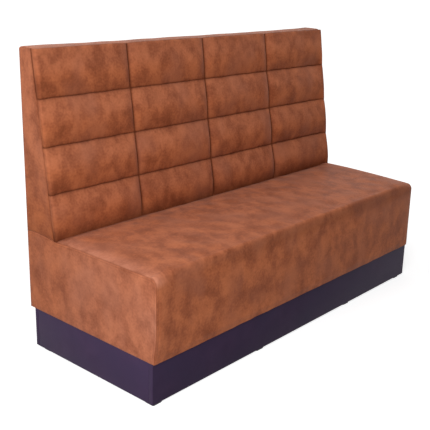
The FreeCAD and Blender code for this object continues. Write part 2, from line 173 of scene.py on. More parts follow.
pores, given, group_end = start_group("fine_pores", {"Pore Size": 0.001}, ("Height", "Tone"))
pores_per_metre = combine(pores, "DIVIDE", 1.0, given["Pore Size"])
pebbles = add_node(pores, "ShaderNodeTexVoronoi", {
    "Vector": given["Place"], "Scale": pores_per_metre}, feature="SMOOTH_F1")
creases = add_node(pores, "ShaderNodeTexNoise", {
    "Vector": given["Place"], "Scale": combine(pores, "MULTIPLY", pores_per_metre, 0.3),
    "Detail": 3.0, "Roughness": 0.55})
feed(pores, group_end, {
    "Height": combine(pores, "ADD", pebbles.outputs["Distance"], creases.outputs[0]),
    "Tone": spread_range(pores, creases.outputs[0], 0.35, 0.65)})

black_plastic = two_tone("black_glide_plastic", pores, {"Pore Size": 0.0006},
                         (0.010, 0.010, 0.011, 1), (0.020, 0.019, 0.021, 1), (0.42, 0.6), 0.0001)
dress(["glides"], black_plastic)
zinc = two_tone("zinc_plated_steel", cloudy, {"Patch Size": 0.004, "Twist": 0.8},
                (0.62, 0.60, 0.55, 1), (0.42, 0.41, 0.38, 1), (0.28, 0.5), Metallic=1.0)
dress(["glide_nails"], zinc)

# Plinth. Four boards of dark violet-black laminate with edge banding form a
# box: the front and rear boards cover the ends of the end boards. The faces
# toward the bench's ends take a lighter copy of the same laminate, a painted
# light, and all edges are eased.
BOARD_EDGE = 0.0016
END_FACE_PAINTED_LIGHT = 1.45
TOWARD_END = 0.6


def eased_copy(node, name, radius, finishes):
    """A copy of a board of the frame, with its outer edges rounded, in new finishes."""
    piece = bpy.data.objects.new(name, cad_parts[node].data.copy())
    scene.collection.objects.link(piece)
    low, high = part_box(node)
    form = bmesh.new()
    form.from_mesh(piece.data)
    bmesh.ops.remove_doubles(form, verts=form.verts, dist=0.00001)
    bmesh.ops.dissolve_limit(form, angle_limit=math.radians(0.5), verts=form.verts,
                             edges=form.edges)

    def sides(point):
        """The outer planes of the board that hold a point."""
        return {(axis, end) for axis in range(3) for end, corner in enumerate((low, high))
                if abs(point[axis] - corner[axis]) < 0.00002}

    outer = [edge for edge in form.edges
             if len(sides(edge.verts[0].co) & sides(edge.verts[1].co)) >= 2]
    bmesh.ops.bevel(form, geom=outer, offset=radius, segments=2, profile=0.5, affect="EDGES")
    form.to_mesh(piece.data)
    form.free()
    piece.data.set_sharp_from_angle(angle=math.radians(50))
    piece.data.materials.clear()
    for finish in finishes:
        piece.data.materials.append(finish)
    return piece


def stand_in(piece, slot, *names):
    """Tie a finished piece to the bench and hide the nodes it stands for; slot is not used."""
    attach(piece, "root")
    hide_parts(*names)


laminates = []
for finish, light in (("violet_black_laminate", 1.0), ("painted_light_end_laminate", END_FACE_PAINTED_LIGHT)):
    laminate, tree, shader, place = start_material(finish)
    laminates.append(laminate)
    film = place_group(tree, cloudy, {"Place": place, "Patch Size": 0.06, "Twist": 0.3})
    texture = place_group(tree, pores, {"Place": place, "Pore Size": 0.0013})
    deep, clear, grey = [(red * light, green * light, blue * light, 1) for red, green, blue in (
        (0.036, 0.021, 0.047), (0.044, 0.026, 0.056), (0.035, 0.023, 0.050))]
    feed(tree, shader, {
        "Base Color": mix_colours(tree, film["Drift"], mix_colours(tree, film["Tone"], deep, clear),
                                  grey),
        "Roughness": spread_range(tree, texture["Tone"], 0, 1, 0.42, 0.52),
        "Specular IOR Level": 0.04,
        "Normal": raise_surface(tree, texture["Height"], 0.00006)})
for name in ("plinth_front_board", "plinth_rear_board",
             "plinth_end_board_left", "plinth_end_board_right"):
    board = eased_copy(name, name + "_eased", BOARD_EDGE, laminates)
    # Faces that look toward the bench's ends take the lighter copy of the laminate, a painted light.
    for face in board.data.polygons:
        face.material_index = int(abs(face.normal.x) > TOWARD_END)
    stand_in(board, "laminate", name)
dress(["plinth_rib_left", "plinth_rib_right"], laminates[1])

# Plinth inside. Four planed softwood blocks stiffen the corners, beech dowels
# hold the butt joints, and screws run from the blocks into the boards.
wood_grain, given, group_end = start_group(
    "wood_grain", {"Ring Width": 0.004}, ("Grain", "Fibre"))
lengthwise = add_node(wood_grain, "ShaderNodeVectorMath", {
    0: given["Place"], 1: (0.06, 1.0, 0.5)}, operation="MULTIPLY").outputs[0]
rings = add_node(wood_grain, "ShaderNodeTexNoise", {
    "Vector": lengthwise, "Scale": combine(wood_grain, "DIVIDE", 0.6, given["Ring Width"]),
    "Detail": 3.0, "Distortion": 0.7})
fibres = add_node(wood_grain, "ShaderNodeTexNoise", {
    "Vector": lengthwise, "Scale": 1400.0, "Detail": 2.0})
feed(wood_grain, group_end, {
    "Grain": spread_range(wood_grain, rings.outputs[0], 0.35, 0.65), "Fibre": fibres.outputs[0]})


def wood_material(name, pale, dark, ring_width, roughness):
    """Bare wood with its grain along the bench."""
    material, tree, shader, place = start_material(name)
    grain = place_group(tree, wood_grain, {"Place": place, "Ring Width": ring_width})
    streaked = mix_colours(tree, grain["Grain"], pale, dark)
    fine = spread_range(tree, grain["Fibre"], 0.3, 0.7, 0.0, 0.35)
    feed(tree, shader, {
        "Base Color": mix_colours(tree, fine, streaked, dark),
        "Roughness": spread_range(tree, grain["Grain"], 0, 1, roughness, roughness + 0.1),
        "Normal": raise_surface(tree, grain["Fibre"], 0.0002)})
    return material


softwood = wood_material("planed_softwood", (0.62, 0.45, 0.26, 1), (0.46, 0.29, 0.14, 1), 0.006, 0.6)
dress(["plinth_corner_blocks", "plinth_dowels"], softwood)
dress(["plinth_block_screws", "plinth_fixing_screws"], zinc)

# Seat box. Plywood end, front and rear panels with two ribs stand on softwood
# battens under a plywood deck; softwood packing carries the backrest.
plywood = wood_material("plywood", (0.58, 0.43, 0.26, 1), (0.44, 0.29, 0.15, 1), 0.009, 0.55)
dress(["seat_end_panel_left", "seat_end_panel_right", "seat_front_panel", "seat_rear_panel",
       "seat_rib_left", "seat_rib_right", "seat_deck"], plywood)
dress(["seat_bottom_batten_front", "seat_bottom_batten_rear", "seat_packing_batten_front",
       "seat_packing_batten_rear", "seat_packing_end_blocks"], softwood)
dress(["seat_corner_screws_left", "seat_corner_screws_right", "seat_deck_screws"], zinc)

# Seat cushion. A foam slab on the deck and thin foam down the front, under one
# piece of mottled cognac leather that rolls over the front edge and is sewn
# to the side covers with a topstitched welt. Its filling is a simulation.
LEFT, RIGHT = cad_low.x, cad_high.x
FRONT, REAR = cad_low.y, cad_high.y
SEAT_LEVEL = 0.450
SEAT_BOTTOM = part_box("seat_cover")[0].z
SEAT_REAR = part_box("seat_cover")[1].y
DECK_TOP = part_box("seat_deck")[1].z
FRONT_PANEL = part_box("seat_front_panel")[0].y
COVER = 0.002
SEAT_CROWN = 0.013
CROWN_REACH = 0.16
END_ROLL = 0.023
MIDDLE_ROLL = 0.011
ROLL_REACH = 0.05
WELT = 0.0065
SLIP = 0.0002
PUFF = 0.0015
PUFF_REACH = 0.016
LIP = 0.0017
LIP_WIDTH = 0.0026
WAVE_COUNT = 24
LEFT_NOSE = 0.011
RIGHT_NOSE = -0.001
NOSE_REACH = 0.12
UNDER_BACK_RISE = 0.0078
LEFT_RISE = 0.0045
RIGHT_RISE = 0.0150
SEAT_RIPPLE = 0.0007
SEAT_PULL = 0.0006
CLOTH_STEPS = 20
CLOTH_PRESSURE = 4.0
seat_height = SEAT_LEVEL - SEAT_BOTTOM


def spread(length, edge_places, step):
    """Places along a length, close together near both of its ends."""
    edge_places = np.array(edge_places)
    count = max(2, round((length - 2 * edge_places[-1]) / step))
    middle = np.linspace(edge_places[-1], length - edge_places[-1], count + 1)
    return np.concatenate([edge_places[:-1], middle, length - edge_places[:-1][::-1]])


def puffed(distance):
    """Height of a soft cover above its plain form, at a distance from its sewn edge."""
    near = 1 - np.clip(distance / LIP_WIDTH, 0, 1)
    soft = 1 - np.clip(distance / PUFF_REACH, 0, 1)
    return PUFF * (1 - soft**2) - LIP * (1 - np.sqrt(1 - near**2))


def waves(u, v, shortest, longest, seed):
    """Smooth random waves from -1 to 1 over two lengths, the same in every run."""
    draw = np.random.default_rng(seed)
    total = np.zeros(np.broadcast(u, v).shape)
    for _ in range(WAVE_COUNT):
        size = np.exp(draw.uniform(math.log(shortest), math.log(longest)))
        turn = draw.uniform(0, 2 * math.pi)
        shift = draw.uniform(0, 2 * math.pi)
        total += np.sin(2 * math.pi * (u * math.cos(turn) + v * math.sin(turn)) / size + shift)
    return total / math.sqrt(WAVE_COUNT)


def points_at(x, y, z):
    """A grid of points from its coordinates."""
    return np.stack(np.broadcast_arrays(x, y, z), -1)


def finer(grid):
    """The same smooth surface with a new point between each two."""
    for axis in (0, 1):
        lines = np.moveaxis(grid, axis, 0)
        ends = (2 * lines[:1] - lines[1:2], 2 * lines[-1:] - lines[-2:-1])
        longer = np.concatenate([ends[0], lines, ends[1]])
        middle = (9 * (longer[1:-2] + longer[2:-1]) - longer[:-3] - longer[3:]) / 16
        doubled = np.empty((2 * len(lines) - 1,) + lines.shape[1:])
        doubled[0::2] = lines
        doubled[1::2] = middle
        grid = np.moveaxis(doubled, 0, axis)
    return grid


def closed_form(name, front, back):
    """A closed mesh between a front grid and a back grid of as many points."""
    rows, columns = front.shape[:2]
    count = rows * columns
    index = np.arange(count).reshape(rows, columns)
    face = np.stack([index[:-1, :-1], index[:-1, 1:], index[1:, 1:], index[1:, :-1]], -1)
    face = face.reshape(-1, 4)
    border = np.concatenate([index[0, :-1], index[:-1, -1], index[-1, :0:-1], index[:0:-1, 0]])
    after = np.roll(border, -1)
    side = np.stack([after, border, border + count, after + count], -1)
    faces = np.concatenate([face, side, face[:, ::-1] + count])
    points = np.concatenate([front.reshape(-1, 3), back.reshape(-1, 3)])
    mesh = bpy.data.meshes.new(name)
    mesh.from_pydata(points.tolist(), [], faces.tolist())
    form = bmesh.new()
    form.from_mesh(mesh)
    bmesh.ops.recalc_face_normals(form, faces=form.faces)
    form.to_mesh(mesh)
    form.free()
    mesh.polygons.foreach_set("use_smooth", [True] * len(mesh.polygons))
    mesh.set_sharp_from_angle(angle=math.radians(60))
    piece = bpy.data.objects.new(name, mesh)
    scene.collection.objects.link(piece)
    backing = np.zeros(len(mesh.polygons), dtype=np.int32)
    backing[len(face) + len(side):] = 1
    mesh.materials.append(None)
    mesh.materials.append(None)
    mesh.polygons.foreach_set("material_index", backing)
    return piece


def lay_hide(piece, front, shift, shade, wear_and_painted_sheen, turned=False):
    """Give a cover its flat cutting pattern in metres, its dark seams and painted shade, and its wear
    and painted sheen.
    """
    mesh = piece.data
    across = np.linalg.norm(np.diff(front, axis=1), axis=2)
    down = np.linalg.norm(np.diff(front, axis=0), axis=2)
    middle_row, middle_column = front.shape[0] // 2, front.shape[1] // 2
    u = np.append(0, np.cumsum(across[middle_row]))
    v = np.append(0, np.cumsum(down[:, middle_column]))
    places = np.stack(np.meshgrid(u, v), -1).reshape(-1, 2)[:, ::-1 if turned else 1]
    places = np.tile(places + np.array(shift), (2, 1))
    corners = np.empty(len(mesh.loops), dtype=np.int32)
    mesh.loops.foreach_get("vertex_index", corners)
    layer = mesh.uv_layers.new(name="Hide")
    layer.data.foreach_set("uv", places[corners].astype(np.float32).ravel())
    for name, values in (("seam_and_painted_shade", np.clip(shade, 0, 1)), ("wear_and_painted_sheen", wear_and_painted_sheen)):
        values = np.tile(np.broadcast_to(values, front.shape[:2]).ravel(), 2).astype(np.float32)
        mesh.attributes.new(name, "FLOAT", "POINT").data.foreach_set("value", values)


def simulate(piece, rest, held, most, excess):
    """Points of a sewn form under pressure from inside; none moves farther than most."""
    group = piece.vertex_groups.new(name="held")
    back_points = np.arange(held.size, len(rest))
    group.add(np.concatenate([np.flatnonzero(held), back_points]).tolist(), 1.0, "REPLACE")
    cloth = piece.modifiers.new("filling", "CLOTH")
    cloth.settings.quality = 5
    cloth.settings.mass = 0.3
    cloth.settings.tension_stiffness = 15
    cloth.settings.compression_stiffness = 15
    cloth.settings.bending_stiffness = 0.5
    cloth.settings.vertex_group_mass = "held"
    cloth.settings.use_pressure = True
    cloth.settings.uniform_pressure_force = CLOTH_PRESSURE
    cloth.settings.shrink_min = -excess
    cloth.settings.effector_weights.gravity = 0
    cloth.collision_settings.use_collision = False
    cloth.point_cache.frame_start = 1
    cloth.point_cache.frame_end = CLOTH_STEPS
    for step in range(1, CLOTH_STEPS + 1):
        scene.frame_set(step)
    filled = piece.evaluated_get(bpy.context.evaluated_depsgraph_get()).data
    moved = np.empty(rest.size, dtype=np.float32)
    filled.vertices.foreach_get("co", moved)
    scene.frame_set(1)
    way = moved.reshape(-1, 3) - rest
    far = np.linalg.norm(way, axis=1, keepdims=True)
    return rest + way * most * np.tanh(far / most) / np.maximum(far, 0.000001)


def fill_out(front, back, held, most, excess):
    """The front grid, made finer, after a filling has blown it up; held points stay in place."""
    piece = closed_form("rough_form", front, back)
    mesh = piece.data
    rest = np.empty(len(mesh.vertices) * 3, dtype=np.float32)
    mesh.vertices.foreach_get("co", rest)
    rest = rest.reshape(-1, 3).astype(float)
    filled = simulate(piece, rest, held, most, excess)
    bpy.data.objects.remove(piece)
    bpy.data.meshes.remove(mesh)
    return finer(filled[:held.size].reshape(front.shape))


def ease(share):
    """A smooth step from 0 to 1."""
    share = np.clip(share, 0, 1)
    return share * share * (3 - 2 * share)


def side_level(y, side):
    """Height of the seam on top of the seat's left (-1) or right (1) cover."""
    behind = np.clip((REAR - y) / (REAR - SEAT_REAR), 0, 1)
    under_back = UNDER_BACK_RISE * np.sin(math.pi * behind**0.62) ** 0.8
    ahead = ease((SEAT_REAR - y) / 0.12)
    left = np.where(y > SEAT_REAR, under_back, LEFT_RISE * ahead)
    drop = np.clip((0.08 - y) / (0.08 - FRONT), 0, 1) ** 1.7
    right = RIGHT_RISE * np.where(y > SEAT_REAR, ease(behind), 1 - drop)
    return SEAT_LEVEL + np.where(side < 0, left, right)


def nose(x, z):
    """How far the filled front stands ahead of its plain form at x and z."""
    most = RIGHT_NOSE + (LEFT_NOSE - RIGHT_NOSE) * np.exp(-(x - LEFT) / NOSE_REACH)
    return most * ease((z - SEAT_BOTTOM) / 0.10)


def seat_rise(x):
    """Share of the seat's crown reached at x; 0 at both side seams."""
    from_end = np.minimum(x - LEFT, RIGHT - x)
    return 1 - (1 - np.clip(from_end / CROWN_REACH, 0, 1)) ** 2.4


def seat_top(x, y):
    """Height of the made-up seat at x and y."""
    edge = side_level(y, x)
    along = 0.9 + 0.1 * np.clip((y - FRONT) / 0.2, 0, 1) - 0.5 * ease((y - SEAT_REAR + 0.13) / 0.13)
    crown = SEAT_LEVEL + SEAT_CROWN * along
    return edge + (crown - edge) * seat_rise(x)


seat_x = LEFT + COVER + SLIP + spread(
    RIGHT - LEFT - 2 * (COVER + SLIP),
    (0, 0.0004, 0.0012, 0.0025, 0.004, 0.0052, WELT, 0.0078, 0.0095, 0.013, 0.018, 0.026, 0.036),
    0.011)[:, None]
near_end = np.exp(-(seat_x - LEFT) / ROLL_REACH) + np.exp(-(RIGHT - seat_x) / ROLL_REACH)
roll = MIDDLE_ROLL + (END_ROLL - MIDDLE_ROLL) * near_end
wall_share = np.linspace(0, 1, 25)
roll_turn = np.linspace(0, math.pi / 2, 10)[1:]
top_share = np.linspace(0, 1, 44)[1:]
top_y = FRONT + roll + top_share * (SEAT_REAR - SLIP - FRONT - roll)
outline_y = np.concatenate([
    FRONT + 0 * roll * wall_share, FRONT + roll * (1 - np.cos(roll_turn)), top_y], axis=1)
outline_z = np.concatenate([
    SEAT_BOTTOM + wall_share * (SEAT_LEVEL - roll - SEAT_BOTTOM),
    SEAT_LEVEL - roll + roll * np.sin(roll_turn), SEAT_LEVEL + 0 * top_y], axis=1)
facing_y = np.concatenate([-1 + 0 * wall_share, -np.cos(roll_turn), 0 * top_share])
facing_z = np.concatenate([0 * wall_share, np.sin(roll_turn), 1 + 0 * top_share])
inner_y = np.concatenate([
    np.full(len(wall_share), FRONT_PANEL - SLIP),
    np.linspace(FRONT_PANEL - SLIP, FRONT + END_ROLL, len(roll_turn) + 1)[1:],
    FRONT + END_ROLL + top_share * (SEAT_REAR - SLIP - FRONT - END_ROLL)])
inner_z = np.concatenate([
    np.linspace(SEAT_BOTTOM, DECK_TOP + SLIP, len(wall_share)),
    np.full(len(roll_turn) + len(top_share), DECK_TOP + SLIP)])
from_side = np.minimum(seat_x - seat_x[0], seat_x[-1] - seat_x)
up = outline_z - SEAT_BOTTOM
lift = (seat_top(seat_x, outline_y) - SEAT_LEVEL) * facing_z
swell = 0.0008 * np.sin(math.pi * np.clip(up / seat_height, 0, 1)) * seat_rise(seat_x)
hem = 0.0018 * np.clip(1 - up / 0.003, 0, 1) ** 2
full = puffed(from_side) + (swell - hem) * (facing_z == 0) - nose(seat_x, outline_z) * facing_y
seat_outer = points_at(seat_x, outline_y + facing_y * full, outline_z + lift + facing_z * full)
seat_inner = points_at(seat_x, inner_y, inner_z)
held = (from_side < 0.0125) | (outline_y > SEAT_REAR - 0.03) | (outline_z < SEAT_BOTTOM + 0.02)
seat_outer = fill_out(seat_outer, seat_inner, held, most=0.0025, excess=0.004)
seat_inner = finer(seat_inner)
along, deep, up = np.moveaxis(seat_outer, -1, 0)
way = np.linalg.norm(np.diff(seat_outer[len(seat_outer) // 2], axis=0), axis=1)
down = np.append(0, np.cumsum(way))[None, :]
from_side = np.minimum(along - along[:1], along[-1:] - along)
ripple = SEAT_RIPPLE * waves(along, down, 0.07, 0.3, 11) * np.clip(from_side / 0.06, 0, 1)
pull = SEAT_PULL * np.exp(-from_side / 0.014) * (1 - np.exp(-from_side / 0.006))
seat_outer[..., 2] += ripple + pull * waves(down, 0 * from_side, 0.010, 0.03, 12)
seat_cushion = closed_form("seat_cushion", seat_outer, seat_inner)
seam = 0.45 * np.exp(-from_side / 0.0012)
# Painted shade: the seat's top darkens toward the backrest.
under_back = 0.6 * np.clip((deep - 0.135) / 0.03, 0, 1)
# Painted shade: a dark band on the front just under the roll, stronger toward the right.
brow = ease((up - SEAT_LEVEL + 0.065) / 0.045) * ease((FRONT + 0.010 - deep) / 0.008)
brow = brow * (0.04 + 0.26 * np.clip((along - LEFT - 0.15) / 0.5, 0, 1))
# Paleness of the seat cover: on the top a painted light that fades out toward the backrest, and along
# the side welts a pale band that is partly wear and partly painted highlight; on the front and the
# sides, a painted highlight near the ends.
on_top = ease((up - SEAT_LEVEL + 0.035) / 0.03)
painted_light_to_front = 0.07 * (1 - ease((deep + 0.08) / 0.14))
pale = on_top * (painted_light_to_front + 0.32 * np.exp(-((from_side / 0.040) ** 2)))
pale = pale + (1 - on_top) * 0.07 * np.exp(-from_side / 0.03)
lay_hide(seat_cushion, seat_outer, (0.2, 0.1), seam + under_back + brow, pale, turned=True)

leather, tree, shader, place = start_material("mottled_cognac_leather")
hide = add_node(tree, "ShaderNodeUVMap", uv_map="Hide").outputs["UV"]
stretched = add_node(tree, "ShaderNodeVectorMath", {0: hide, 1: (1.0, 0.75, 1.0)},
                     operation="MULTIPLY").outputs[0]
clouds = place_group(tree, cloudy, {"Place": stretched, "Patch Size": 0.064, "Twist": 0.3})
flecks = place_group(tree, cloudy, {"Place": stretched, "Patch Size": 0.021, "Twist": 0.1})
specks = place_group(tree, cloudy, {"Place": hide, "Patch Size": 0.008, "Twist": 0.0})
grain = place_group(tree, pores, {"Place": hide, "Pore Size": 0.0012})
tone = -0.155
for marks, share in ((flecks, 0.26), (specks, 0.34), (clouds, 0.72)):
    tone = combine(tree, "ADD", tone, combine(tree, "MULTIPLY", marks["Tone"], share))
ramp = add_node(tree, "ShaderNodeValToRGB", {"Fac": tone})
stops = ramp.color_ramp.elements
stops[0].position = 0.08
stops[0].color = (0.258, 0.068, 0.027, 1)
stops[1].position = 0.92
stops[1].color = (0.520, 0.158, 0.063, 1)
for position, colour in ((0.38, (0.345, 0.096, 0.039, 1)), (0.62, (0.440, 0.128, 0.051, 1))):
    stops.new(position).color = colour
ashy = mix_colours(tree, spread_range(tree, clouds["Drift"], 0.5, 1.0, 0.0, 0.45),
                   ramp.outputs["Color"], (0.355, 0.122, 0.068, 1))
# The attribute read here pales the hide toward a pinkish tan: mostly painted sheen and highlight,
# partly wear along the seat's welts.
wear_and_painted_sheen = add_node(tree, "ShaderNodeAttribute", attribute_name="wear_and_painted_sheen").outputs["Fac"]
uneven = combine(tree, "MULTIPLY", wear_and_painted_sheen, spread_range(tree, tone, 0, 1, 0.5, 1.5))
with_wear_and_sheen = mix_colours(tree, uneven, ashy, (0.640, 0.280, 0.190, 1))
speckled = mix_colours(tree, spread_range(tree, grain["Tone"], 0, 1, 0.0, 0.14),
                       with_wear_and_sheen, (0.220, 0.054, 0.021, 1))
# The attribute read here holds the dark seam lines and painted shade: it darkens the colour toward a
# near-black brown and takes the sheen and gloss away there.
seam_and_painted_shade_mask = add_node(tree, "ShaderNodeAttribute", attribute_name="seam_and_painted_shade").outputs["Fac"]
feed(tree, shader, {
    "Base Color": mix_colours(tree, combine(tree, "MULTIPLY", seam_and_painted_shade_mask, 0.8), speckled,
                              (0.075, 0.017, 0.008, 1)),
    "Roughness": spread_range(tree, tone, 0, 1, 0.50, 0.60),
    "Specular IOR Level": spread_range(tree, seam_and_painted_shade_mask, 0, 1, 0.05, 0.0),
    "Sheen Weight": spread_range(tree, seam_and_painted_shade_mask, 0, 0.8, 0.15, 0.0),
    "Sheen Roughness": 0.4,
    "Sheen Tint": (1.0, 0.80, 0.72, 1),
    "Normal": raise_surface(tree, grain["Height"], 0.00022)})
foam = two_tone("cut_foam", pores, {"Pore Size": 0.0016}, (0.84, 0.80, 0.66, 1),
                (0.70, 0.64, 0.48, 1), (0.9, 0.9), 0.0005)


def clad(piece, outside, inside):
    """Leather or board outside, and the backing where the piece is not seen."""
    piece.data.materials[0] = outside
    piece.data.materials[1] = inside


clad(seat_cushion, leather, foam)
stand_in(seat_cushion, "leather", "seat_cover", "seat_foam", "seat_front_foam")

# Seat side and rear covers. Flat leather panels over the plywood, lined with
# thin fleece; the side ones end in the welt along the top and the front.
fleece = two_tone("fleece_backing", cloudy, {"Patch Size": 0.003, "Twist": 1.0},
                  (0.30, 0.27, 0.24, 1), (0.42, 0.39, 0.35, 1), (0.95, 0.95), 0.0004)
PANEL_EDGES = np.array([0, 0.4, 1.1, 2.2, 3.8, 5.2, 6.5, 7.8, 9.5, 13, 20]) / 1000
SEWN_IN = 0.0006


def leather_panel(name, places, facing, distance, shift, seed, welt=None, dark=0.0,
                  wear_and_painted_sheen=0.14):
    """A thin stretched cover: places is its outside grid, distance the way to its edge."""
    facing = np.array(facing, dtype=float)
    distance = np.maximum(distance, 0)[..., None]
    calm = np.clip(distance / 0.05, 0, 1)
    u = places[..., 0:1] + places[..., 1:2]
    height = 0.0005 * waves(u, places[..., 2:3], 0.06, 0.25, seed) * calm
    sewn = 0 * distance if welt is None else np.exp(-(((welt[..., None] - WELT) / 0.0012) ** 2))
    outer = places + facing * (height + puffed(distance) - SEWN_IN * sewn)
    inner = places - facing * COVER
    piece = closed_form(name, outer, inner)
    # Painted shade along the sewn edges and in the welt's groove, plus what dark adds; every panel is
    # also paler by its share of painted sheen.
    shade = 0.25 * np.exp(-distance[..., 0] / 0.0013) + 0.2 * sewn[..., 0] + dark
    lay_hide(piece, outer, shift, shade, wear_and_painted_sheen)
    clad(piece, leather, fleece)
    return piece


def rear_cover(part, low, high, steps, shift, seed):
    """A flat leather panel over the whole rear of the seat or the backrest."""
    x = LEFT + COVER + spread(RIGHT - LEFT - 2 * COVER, PANEL_EDGES, steps[0])[None, :]
    z = low + spread(high - low, PANEL_EDGES, steps[1])[:, None]
    distance = np.minimum(np.minimum(x - LEFT, RIGHT - x) - COVER, np.minimum(z - low, high - z))
    cover = leather_panel(part + "_rear", points_at(x, REAR, z), (0, 1, 0), distance, shift, seed)
    stand_in(cover, "leather", part + "_rear_cover")
    return cover


corner_y = FRONT + END_ROLL
inner_roll = END_ROLL - COVER


def carried(x, y, z):
    """Y on a side cover, once the seat's filling has carried its front forward."""
    near_front = np.clip((corner_y + 0.03 - y) / (END_ROLL + 0.03), 0, 1)
    return y - nose(x, z) * near_front


welt_lines = []
for side, outside, sense, shift in (("left", LEFT, -1, (0.9, 2.1)), ("right", RIGHT, 1, (2.7, 3.4))):
    corner_z = side_level(corner_y, sense) - END_ROLL
    y = FRONT + COVER + spread(REAR - FRONT - COVER - SLIP, PANEL_EDGES, 0.010)
    top = side_level(y, sense) - COVER * ease((SEAT_REAR + 0.006 - y) / 0.008) - SLIP
    round_top = corner_z + np.sqrt(inner_roll**2 - np.clip(corner_y - y, 0, inner_roll) ** 2)
    top = np.where(y < corner_y, round_top, top)
    up = spread(1.0, PANEL_EDGES / seat_height, 0.034)[::-1, None]
    z = SEAT_BOTTOM + up * (top - SEAT_BOTTOM)
    to_round = inner_roll - np.hypot(y - corner_y, z - corner_z)
    to_round = np.where((y < corner_y) & (z > corner_z), to_round, np.inf)
    welt = np.minimum(np.minimum(y - FRONT - COVER, top - z), to_round)
    distance = np.minimum(np.minimum(welt, REAR - SLIP - y), z - SEAT_BOTTOM)
    places = points_at(outside, carried(outside, y, z), z)
    # Painted sheen: the side covers are paler, more so near the front corner at mid height, less toward
    # the rear.
    side_sheen = 0.19 + 0.22 * np.exp(-(y - FRONT) / 0.05) * np.exp(-(((z - 0.29) / 0.07) ** 2))
    side_sheen = side_sheen - 0.10 * ease((y - 0.02) / 0.16)
    cover = leather_panel("seat_side_" + side, places, (sense, 0, 0), distance, shift, 21, welt,
                          wear_and_painted_sheen=side_sheen)
    stand_in(cover, "leather", "seat_side_cover_" + side)
    bend = np.linspace(0, math.pi / 2, 12)
    turn = inner_roll - WELT
    level_y = np.linspace(SEAT_REAR - 0.012, corner_y, 60)[:-1]
    line_y = np.concatenate([level_y, corner_y - turn * np.sin(bend), np.full(50, corner_y - turn)])
    line_z = np.concatenate([
        side_level(level_y, sense) - COVER - WELT, corner_z + turn * np.cos(bend),
        np.linspace(corner_z, SEAT_BOTTOM + 0.002, 51)[1:]])
    line_x = outside + sense * (puffed(WELT) - SEWN_IN)
    welt_lines.append(points_at(line_x, carried(outside, line_y, line_z), line_z))

cover = rear_cover("seat", SEAT_BOTTOM, SEAT_LEVEL, (0.014, 0.012), (4.2, 0.3), 23)

# Backrest frame. Wedge-shaped plywood end frames and ribs between a bottom
# board and a top rail, with a plywood face board and a hardboard rear board;
# eight bolts from under the deck hold it down in tee nuts.
hardboard = wood_material("hardboard", (0.27, 0.16, 0.085, 1), (0.22, 0.12, 0.06, 1), 0.003, 0.5)
dress(["back_end_frame_left", "back_end_frame_right", "back_rib_1", "back_rib_2", "back_rib_3",
       "back_bottom_board", "back_top_rail", "back_face_board"], plywood)
dress(["back_rear_board"], hardboard)
dress(["back_corner_screws_left", "back_corner_screws_right", "back_face_screws",
       "back_rear_nails", "back_bolts", "back_bolt_washers", "back_tee_nuts"], zinc)

# Backrest foam. A thin flat sheet of foam glued to the face board.
foam_sheet = eased_copy("back_foam_sheet", "back_foam_layer", 0.0015, [foam])
stand_in(foam_sheet, "foam", "back_foam_sheet")

# Channelled pads. One sewn leather panel for each column of the backrest, with
# three level seams that make four stuffed channels. The outer pads turn
# round the bench's ends to the side seams. Their filling is a simulation.
BACK_TOP = cad_high.z
COLUMNS = 4
CHANNELS = 4
PAD_BACK = -0.0018
FLANGE = 0.010
DEPTH_AT_SEAT = 0.166
DEPTH_AT_TOP = 0.078
TOP_CROWN = 0.0160
LOW_CROWN = 0.0225
RIGHT_CROWN = 0.0110
FULLEST = 0.54
TOP_LIFT = 0.0035
TURN = 0.009
LEFT_BULGE = 0.0015
RIGHT_BULGE = 0.0060
NOTCH = 0.003
SWAY = 0.0009
PUCKER = 0.0007
PAD_GAP = 0.0001
PAD_STEP = 0.0058
pad_height = BACK_TOP - SEAT_LEVEL
channel_height = pad_height / CHANNELS
column_width = (RIGHT - LEFT) / COLUMNS


def face_y(z, height):
    """Y of the backrest's face at z, height in front of its seams."""
    lean = (DEPTH_AT_SEAT - DEPTH_AT_TOP) / pad_height
    return REAR - DEPTH_AT_SEAT + (z - SEAT_LEVEL) * lean - height


def channel_rise(down):
    """Share of the crown in a channel, by the way down from its upper seam; fullest below half."""
    fullest = FULLEST * channel_height
    up = channel_height - down
    near = np.minimum(down, up)
    share = np.where(down < fullest, down / fullest, up / (channel_height - fullest))
    power = np.where(down < fullest, 2.2, 1.8)
    return 0.88 * (1 - (1 - np.clip(share, 0, 1)) ** power) + 0.12 * (1 - np.exp(-near / 0.003))


def top_rise(down):
    """The same for the top channel, which rolls over the top edge instead of a seam."""
    rolled = 0.78 + 0.22 * (1 - (1 - np.clip(down / 0.012, 0, 1)) ** 3)
    return np.where(down < FULLEST * channel_height, rolled, channel_rise(down))


seam_places = np.array([0, 0.4, 1, 2, 3.5, 5.5, 8, 11.5, 16, 22, 30, 40, 52, 66]) / 1000
half_channel = np.append(seam_places, channel_height / 2)
one_channel = np.append(half_channel, (channel_height - seam_places)[::-1])
one_rise = channel_rise(channel_height - one_channel)
pad_up = np.concatenate([one_channel[:-1] + channel * channel_height for channel in range(CHANNELS)]
                        + [[pad_height] * 2])
pad_rise = np.concatenate([one_rise[:-1]] * (CHANNELS - 1)
                          + [top_rise(channel_height - one_channel), [0]])
column_places = np.array([0, 0.5, 1.6, 3.6, 7, 12, 19, 28, 40, 54]) / 1000
column_rises = np.array([0, 0.08, 0.17, 0.28, 0.42, 0.56, 0.70, 0.83, 0.93, 1])


